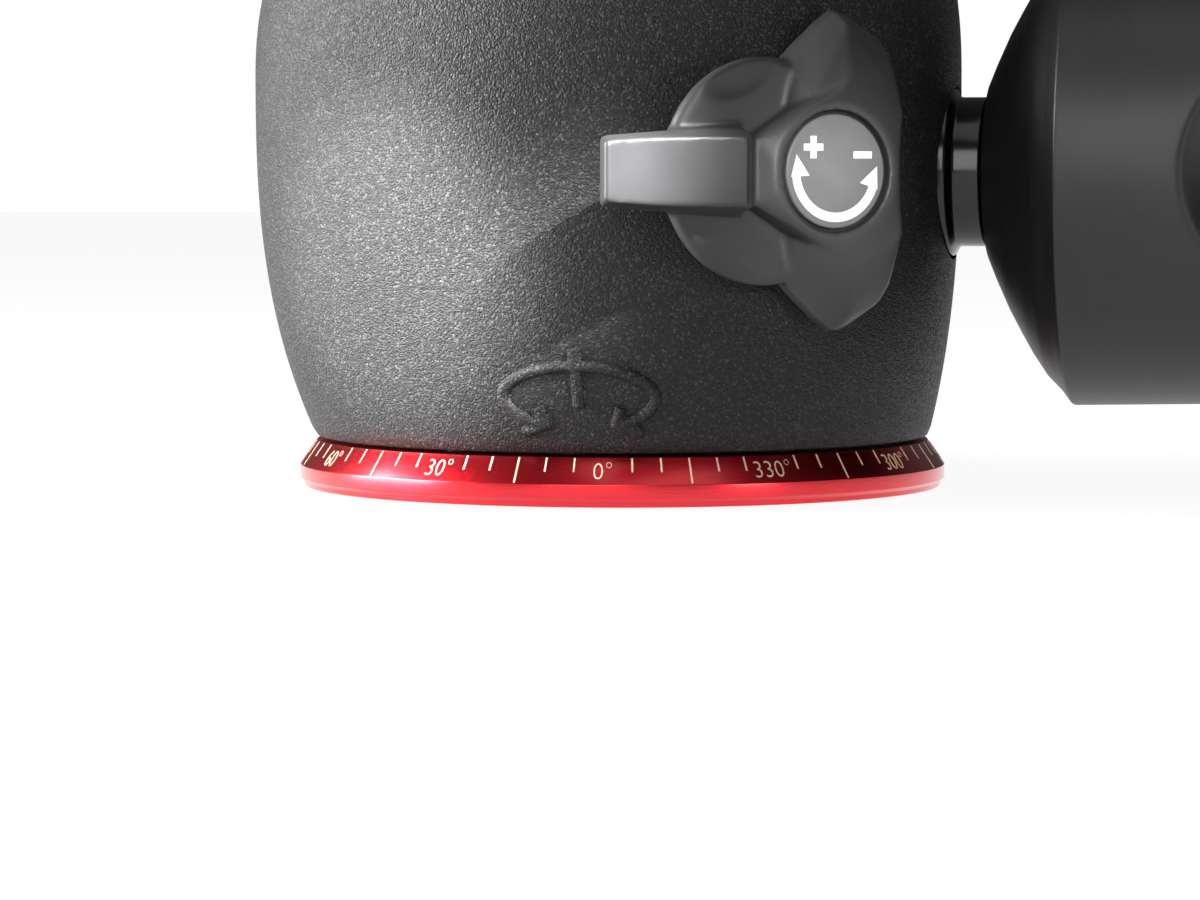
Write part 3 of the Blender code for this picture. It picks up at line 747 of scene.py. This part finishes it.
def scoopedKnob(values, steps, innerKeep, turnBy=0.0):
    # turned knob whose side is pulled in where spherical finger scoops meet it
    path = softened(values["profile"], 5)
    fine = []
    for (r0, z0), (r1, z1) in zip(path, path[1:] + path[:1]):
        count = max(1, int(math.hypot(r1 - r0, z1 - z0) / 0.45))
        fine += [(r0 + (r1 - r0) * i / count, z0 + (z1 - z0) * i / count) for i in range(count)]
    shape = turnedShape(fine, steps)
    centre, level = values["scoopCentre"]
    side = [(z, r) for r, z in path if r > innerKeep + 0.5]

    def sideRadius(height):
        for (z0, r0), (z1, r1) in zip(side, side[1:]):
            if min(z0, z1) <= height <= max(z0, z1) and abs(z1 - z0) > 1e-6:
                return r0 + (r1 - r0) * (height - z0) / (z1 - z0)
        return max(radius for _, radius in side)

    for vert in shape.verts:
        reach = math.hypot(vert.co.x, vert.co.y)
        if reach <= innerKeep + 0.01:
            continue
        angle = math.atan2(vert.co.y, vert.co.x) - turnBy
        spacing = math.tau / values["scoops"]
        off = (angle + spacing / 2) % spacing - spacing / 2
        below = level - vert.co.z
        inside = values["scoopRadius"] ** 2 - below ** 2 - (centre * math.sin(off)) ** 2
        if inside <= 0 or math.cos(off) < 0:
            continue
        scoop = centre * math.cos(off) - math.sqrt(inside)
        outer = sideRadius(vert.co.z)
        soft = values["rim"]
        gap = (scoop - outer) / soft
        pulled = outer - soft * math.log1p(math.exp(-gap)) if gap > -30 else scoop
        blend = min(1.0, (reach - innerKeep) / max(0.1, outer - innerKeep))
        factor = 1 + (pulled / outer - 1) * (blend ** 0.35 if blend < 1 else 1)
        vert.co.x *= factor
        vert.co.y *= factor
    return shape


def makeLockKnob():
    place = knobPlace("main_knob_turn")
    knob = asObject("lockKnob",
                    moved(scoopedKnob(lockKnobValues, 216, 9.3, math.radians(60)), place))
    finish(knob, darkNylon, "main_knob", ["main_knob"], 40)
    cap = turnedShape(softened([(0, 63.6), (8.9, 63.6, 0.4), (8.9, 61.5, 0.2), (0, 61.5)], 4), 96)
    piece = asObject("lockKnobCap", moved(cap, place))
    finish(piece, greyInsert, "main_knob", ["main_cap"])


def makePanKnob():
    place = knobPlace("pan_knob_turn")
    knob = asObject("panKnob",
                    moved(scoopedKnob(panKnobValues, 120, 4.4, math.radians(60)), place))
    finish(knob, nylon, "pan_knob", ["pan_knob"], 40)
    disc = turnedShape(softened([(0, 42.5), (4.05, 42.5, 0.15), (4.05, 41.9), (0, 41.9)], 3), 64)
    piece = asObject("panKnobDisc", moved(disc, place))
    finish(piece, greyInsert, "pan_knob", ["pan_disc"])


makeLockKnob()
makePanKnob()
print("lock and pan knobs made")

# friction knob

frictionValues = {
    "face": 38.8,              # distance of the flat face from the pan axis
    "back": 33.2,
    "voxel": 0.2,
    "smoothing": 5,
}


def mirroredOutline(half):
    return half + [(x, -y) for x, y in reversed(half) if abs(y) > 1e-6]


def makeFrictionKnob():
    place = knobPlace("friction_knob_turn")
    face, back = frictionValues["face"], frictionValues["back"]
    rimHalf = [(6.5, 0.0), (7.3, 5.3), (2.1, 7.9), (-2.2, 6.0), (-7.4, 2.85)]
    collar = [(6.0 * math.cos(a), 6.0 * math.sin(a), face)
              for a in (math.tau * i / 40 for i in range(40))]
    hub = [(x, y, face - 1.0) for x, y in mirroredOutline(rimHalf)]
    foot = [(x, y, back + 0.2) for x, y in mirroredOutline(rimHalf)]
    shapes = [hullShape(collar + hub + foot)]
    for side in (1, -1):
        rim = [(-2.9, 9.8), (0.3, 12.7), (2.1, 14.0), (3.4, 13.6), (6.7, 11.6), (7.8, 10.1),
               (8.1, 8.7), (7.4, 5.3), (-4.0, 4.0)]
        lobe = [(x, y * side, back + 0.3) for x, y in rim]
        lobe += [(x * 0.98, y * 0.98 * side, back + 1.6) for x, y in rim]
        lobe += [(x, y * side, face - 1.1) for x, y in ((2.1, 8.1), (7.2, 5.2), (-1.6, 6.4),
                                                       (-3.0, 2.0), (6.4, 2.0))]
        lobe += [(2.9, 12.6 * side, face - 3.0), (6.9, 9.6 * side, face - 3.2)]
        shapes.append(hullShape(lobe))
    arm = [(-22.25, y, face) for y in (-2.5, 2.5)] + [(-7.9, y, face) for y in (-2.9, 2.9)]
    arm += [(-21.6, y, face - 2.2) for y in (-2.95, 2.95)]
    arm += [(-19.6, y, face - 4.4) for y in (-2.9, 2.9)]
    arm += [(-7.9, y, face - 2.6) for y in (-3.8, 3.8)]
    arm += [(-7.9, y, back + 0.9) for y in (-3.9, 3.9)]
    shapes.append(hullShape(arm))
    floor = 35.5
    web = turnedShape(softened([(0, floor), (9.75, floor, 0.7), (9.75, back + 0.8, 0.4),
                                (0, back + 0.3)], 4), 128)
    shapes.append(moved(web, Matrix.Translation((-4.87, 0, 0))))
    knob = asObject("frictionKnob", joined(shapes))
    remeshed(knob, 0.25, 0)
    for side in (1, -1):
        dish = turnedShape(softened([(0, 45), (8.5, 45), (8.5, floor - 0.25, 3.2),
                                     (0, floor - 0.25)], 10), 96)
        carve(knob, moved(dish, Matrix.Translation((-9.3, 12.5 * side, 0))))
    sideCut = turnedShape([(0, 60), (19.1, 60), (19.1, 20), (0, 20)], 200)
    carve(knob, moved(sideCut, Matrix.Translation((25.6, 0, 0))))
    along = Matrix.Rotation(math.radians(90), 4, "X")
    groove = moved(turnedShape([(0, 6), (0.75, 6), (0.75, -6), (0, -6)], 32),
                   Matrix.Translation((-8.0, 0, face + 0.25)) @ along)
    carve(knob, groove)
    scoopedArm = moved(turnedShape([(0, 9), (48.0, 9), (48.0, -9), (0, -9)], 256),
                       Matrix.Translation((-15.5, 0, face + 47.55)) @ along)
    carve(knob, scoopedArm)
    carve(knob, turnedShape([(0, 50), (5.35, 50), (5.2, face - 1.0), (0, face - 1.0)], 96))
    carve(knob, turnedShape([(0, 37.0), (3.0, 37.0), (3.0, 30), (0, 30)], 48))
    remeshed(knob, frictionValues["voxel"], frictionValues["smoothing"])
    finalPlace = place.copy()
    finalPlace.translation = place.translation * mm
    knob.data.transform(finalPlace)
    finish(knob, nylon, "friction_knob", ["friction_knob"], 0)

    disc = turnedShape(softened([(0, 38.5), (4.85, 38.5, 0.2), (4.85, 37.9), (0, 37.9)], 4), 96)
    piece = asObject("frictionDisc", moved(disc, place))
    finish(piece, greyInsert, "friction_knob", ["friction_disc"])


def arcBand(inner, outer, start, end, low, high, steps=40):
    # flat curved bar between two angles
    outline = []
    for radius, angles in ((outer, range(steps + 1)), (inner, range(steps, -1, -1))):
        for i in angles:
            angle = math.radians(start + (end - start) * i / steps)
            outline.append((radius * math.cos(angle), radius * math.sin(angle)))
    return drawnShape(outline, low, high)


def makeLockSymbols():
    # plus, minus and a double arrow: loosen and tighten
    place = knobPlace("friction_knob_turn")
    low, high = 38.45, 38.56
    marks = [drawnShape([(-2.2 + x, 2.05 + y) for x, y in
                         ((-0.95, -0.3), (-0.3, -0.3), (-0.3, -0.95), (0.3, -0.95), (0.3, -0.3),
                          (0.95, -0.3), (0.95, 0.3), (0.3, 0.3), (0.3, 0.95), (-0.3, 0.95),
                          (-0.3, 0.3), (-0.95, 0.3))], low, high),
             boxShape((1.75, 1.1, low), (3.55, 1.7, high)),
             arcBand(3.5, 4.3, 186, 340, low, high)]
    for start, tip in ((186, 160), (340, 366)):
        corners = []
        for radius, angle in ((4.4, start), (4.1, tip), (2.6, start + (start - tip) * 0.08)):
            turn = math.radians(angle)
            corners.append((radius * math.cos(turn), radius * math.sin(turn)))
        marks.append(drawnShape(corners, low, high))
    piece = asObject("lockSymbols", moved(joined(marks), place))
    finish(piece, whiteInk, "friction_knob", ())


makeFrictionKnob()
makeLockSymbols()
print("friction knob made")

# ball, stem and platform


def makeBallAndStem():
    low, high = boxOf("ball")
    middle = (low.z + high.z) / 2
    ball = asObject("lockingBall", ballShape((high.z - low.z) / 2, (0, 0, middle), 96, 64))
    finish(ball, blackAnodise, "ball", ["ball"])
    reach = housingValues["seatRadius"]
    seat = [(reach * math.sin(angle), middle + reach * math.cos(angle))
            for angle in (math.asin(radius / reach) for radius in (7.6, 5.5, 3.4))]
    profile = softened([(3.4, 92.6), (9.5, 92.6, 0.25), (9.5, 91.4, 0.3), (7.0, 89.6, 0.8),
                        (7.0, 80.0, 0.8)], 4) + seat
    stem = asObject("stemPost", turnedShape(profile, 128))
    finish(stem, aluminium, "stem", ["stem"])


topValues = {
    "deckHalf": (23.4, 23.0),      # half width and half depth of the clamp platform
    "deckHeights": (93.0, 98.0),
    "jawTop": 104.1,
    "movingJaw": (-22.5, 11.5),    # its ends, front to back
    "buttonPlace": (0, 14, 95.5),
    "vialPlace": (0, -21.5, 95.6),
    "leverHeights": (95.3, 102.6),
    "leverLength": 37.0,
    "plateHalf": 25.0,
    "padReach": 22.3,
    "ribPitch": 2.0,
    "ribCount": 22,
    "screwTop": 114.5,
    "screwPitch": 1.27,            # 20 threads to the inch
}


def standing(shape):
    # outline drawn in X and Z, pulled along Y
    turn = Matrix(((1, 0, 0, 0), (0, 0, -1, 0), (0, 1, 0, 0), (0, 0, 0, 1)))
    moved(shape, turn)
    bmesh.ops.recalc_face_normals(shape, faces=shape.faces)
    return shape


def makePlatform():
    wide, deep = topValues["deckHalf"]
    low, high = topValues["deckHeights"]
    jawTop = topValues["jawTop"]
    outline = [(wide, low), (wide, high), (-19.3, high), (-19.3, 100.35), (-16.4, 103.25),
               (-16.4, jawTop), (-wide, jawTop), (-wide, low)]
    deck = asObject("clampPlatform", standing(drawnShape(outline, -deep, deep, 0.5, 3)))
    carve(deck, boxShape((22.0, -22.0, 93.2), (31.6, -12.5, 94.9), 0.6), "UNION")
    across = Matrix.Rotation(math.radians(90), 4, "Y")
    carve(deck, turnedShape([(0, 99), (5.4, 99), (5.4, 94.6), (3.4, 94.6), (3.4, 92),
                             (0, 92)], 64))
    carve(deck, boxShape((-7.6, -24.0, 93.7), (7.6, -19.2, 97.5), 0.4))
    hole = turnedShape([(0, -12), (2.0, -12), (2.0, -26), (0, -26)], 32)
    buttonPlace = Matrix.Translation(topValues["buttonPlace"]) @ across
    carve(deck, moved(hole, buttonPlace))
    finish(deck, powderCoat, "platform", ["platform"], 35)

    section = [(wide, 98.3), (wide, jawTop), (16.4, jawTop), (16.4, 103.25), (19.3, 100.35),
               (19.3, 98.3)]
    jaw = asObject("clampJaw", standing(drawnShape(section, *topValues["movingJaw"], 0.45, 3)))
    finish(jaw, aluminium, "clamp_jaw", ["clamp_jaw"])

    button = turnedShape(softened([(0, -17.6), (1.7, -17.6), (1.7, -26.4, 0.4), (0, -26.4)], 4),
                         48)
    piece = asObject("releaseButton", moved(button, buttonPlace))
    finish(piece, redMetal, "safety_button", ["safety_button"])

    tube = turnedShape(softened([(0, 7.2), (1.6, 7.2, 0.5), (1.6, -7.2, 0.5), (0, -7.2)], 4), 48)
    vialPlace = Matrix.Translation(topValues["vialPlace"]) @ across
    vial = asObject("levelVial", moved(tube, vialPlace))
    finish(vial, acrylic, "platform", ["level_vial"])
    lines = []
    for offset in (-2.4, 2.4):
        band = turnedShape([(1.6, 0.15), (1.68, 0.15), (1.68, -0.15), (1.6, -0.15)], 48)
        lines.append(moved(band, Matrix.Translation((offset, 0, 0)) @ vialPlace))
    piece = asObject("vialLines", joined(lines))
    finish(piece, rubber, "platform", ())


def makeLever():
    low, high = boxOf("lever_pin")
    x, y = (low.x + high.x) / 2, (low.y + high.y) / 2
    foot, head = topValues["leverHeights"]
    boss = turnedShape(softened([(1.8, head), (3.7, head, 0.5), (3.7, foot, 0.4), (1.8, foot)],
                                4), 96)
    lever = asObject("clampLever", moved(boss, Matrix.Translation((x, y, 0))))
    tip = y + topValues["leverLength"]
    outline = softened([(x - 1.2, y + 2.0), (x + 2.4, y + 2.0), (x + 2.6, tip, 1.6),
                        (x - 1.2, tip, 1.6)], 5)
    carve(lever, drawnShape(outline, 95.8, 102.0, 0.5, 3), "UNION")
    finish(lever, nylon, "lock_lever", ["lock_lever"], 35)
    pin = turnedShape(softened([(0, 103.9), (2.6, 103.9, 0.3), (2.6, 102.9), (1.2, 102.9),
                                (1.2, 93.4), (0, 93.4)], 4), 48)
    screw = asObject("leverScrew", moved(pin, Matrix.Translation((x, y, 0))))
    carve(screw, boxShape((x - 3, y - 0.35, 103.4), (x + 3, y + 0.35, 105)))
    finish(screw, zincSteel, "platform", ["lever_pin"])


def makeCameraPlate():
    half = [(18.2, 98.4), (19.0, 99.2), (19.0, 100.05), (16.0, 103.05), (16.0, 104.4),
            (21.0, 104.4), (21.0, 108.0)]
    outline = half + [(-x, z) for x, z in reversed(half)]
    end, reach = topValues["plateHalf"], topValues["padReach"]
    plate = asObject("cameraPlate", standing(drawnShape(outline, -end, end, 0.45, 3)))
    carve(plate, boxShape((-9.0, -12.0, 97.0), (9.0, 12.0, 103.0), 0.5))
    carve(plate, boxShape((-3.6, -10.0, 102.0), (3.6, 10.0, 110.0), 0.5))
    for low, high in ((-18.6, -5.4), (5.4, 18.6)):
        carve(plate, boxShape((low, -22.6, 107.3), (high, 22.6, 110.0), 0.4))
    finish(plate, aluminium, "camera_plate", ["camera_plate"])
    for name, node, low in (("padLeft", "plate_pad_left", -18.3), ("padRight", "plate_pad_right",
                                                                   5.7)):
        ribs = [boxShape((low, -reach, 107.6), (low + 12.6, reach, 108.6), 0.25)]
        for i in range(topValues["ribCount"]):
            start = -21.9 + i * topValues["ribPitch"]
            ribs.append(boxShape((low + 0.5, start, 108.4), (low + 12.1, start + 1.3, 109.0), 0.2))
        piece = asObject(name, joined(ribs))
        finish(piece, rubber, "camera_plate", [node])


def makeCameraScrew():
    top, pitch = topValues["screwTop"], topValues["screwPitch"]
    profile = [(0, top), (2.5, top)]
    crest = top - 0.6
    for i in range(8):
        profile += [(3.15, crest - i * pitch), (3.15, crest - 0.2 - i * pitch),
                    (2.6, crest - 0.55 - i * pitch), (2.6, crest - 0.8 - i * pitch)]
    profile += softened([(3.1, 102.2), (8.2, 102.2, 0.4), (8.2, 99.4, 0.4), (0, 99.4)], 4)
    screw = asObject("cameraScrew", turnedShape(profile, 64))
    carve(screw, boxShape((-9.0, -0.8, 98.0), (9.0, 0.8, 100.8)))
    finish(screw, zincSteel, "camera_screw", ["camera_screw"])


makeBallAndStem()
makePlatform()
makeLever()
makeCameraPlate()
makeCameraScrew()
print("top made")

# finishes for the frame's own nodes

nodeFinish = {
    "pan_base": aluminium, "tripod_insert": zincSteel, "thrust_washer": naturalAcetal,
    "base_screw_1": zincSteel, "base_screw_2": zincSteel, "base_screw_3": zincSteel,
    "pan_spindle": aluminium, "spindle_nut": zincSteel, "upper_seat": blackAcetal,
    "spring_seat": zincSteel, "cup_spring": zincSteel, "main_bush": turnedBrass,
    "friction_bush": turnedBrass, "pan_bush": turnedBrass, "main_shaft": zincSteel,
    "main_wedge": turnedBrass, "lower_cup": blackAcetal, "friction_shaft": zincSteel,
    "friction_wedge": turnedBrass, "pan_shaft": zincSteel, "pan_shoe": turnedBrass,
    "platform_screw": zincSteel, "button_spring": zincSteel,
}


def finishNodes():
    for name, material in nodeFinish.items():
        node = frame["nodes"][name]
        node.data.materials.clear()
        node.data.materials.append(material)


def makeStudio():
    shape = bmesh.new()
    size = studio["floorSize"]
    bmesh.ops.create_grid(shape, x_segments=2, y_segments=2, size=size / 2)
    bmesh.ops.translate(shape, vec=(0, 0, cadBox[0][2]), verts=shape.verts)
    mesh = bpy.data.meshes.new("floor")
    shape.to_mesh(mesh)
    shape.free()
    floor = bpy.data.objects.new("floor", mesh)
    scene.collection.objects.link(floor)
    material, tree, shader = startMaterial("paleFloor", "#3c3c3c", 0.9,
                                           Emission_Strength=0.93)
    shader.inputs["Emission Color"].default_value = (1, 1, 1, 1)
    mesh.materials.append(material)
    floor.visible_diffuse = False

    world = bpy.data.worlds.new("studio")
    scene.world = world
    world.use_nodes = True
    tree = world.node_tree
    tree.nodes.clear()
    ray = addNode(tree, "ShaderNodeLightPath")
    white = addNode(tree, "ShaderNodeBackground", Color=(1, 1, 1, 1), Strength=1.0)
    dim = addNode(tree, "ShaderNodeBackground", Color=(1, 1, 1, 1), Strength=0.07)
    mix = addNode(tree, "ShaderNodeMixShader", {0: ray.outputs["Is Camera Ray"],
                                                1: dim.outputs[0], 2: white.outputs[0]})
    addNode(tree, "ShaderNodeOutputWorld", {"Surface": mix.outputs[0]})

    addLight("leftSoftbox", -88, 0.12, 0.55, (0.4, 0.5), 18)
    addLight("rightSoftbox", 45, 0.03, 0.7, (0.16, 0.16), 0.5)
    addLight("frontFill", -12, 0.32, 0.9, (0.5, 0.5), 3.1)
    addLight("topFill", 20, 0.9, 0.4, (0.6, 0.6), 1.0)
    for name, values in studio["snoots"].items():
        addSnoot(name, *values)


finishNodes()
makeStudio()
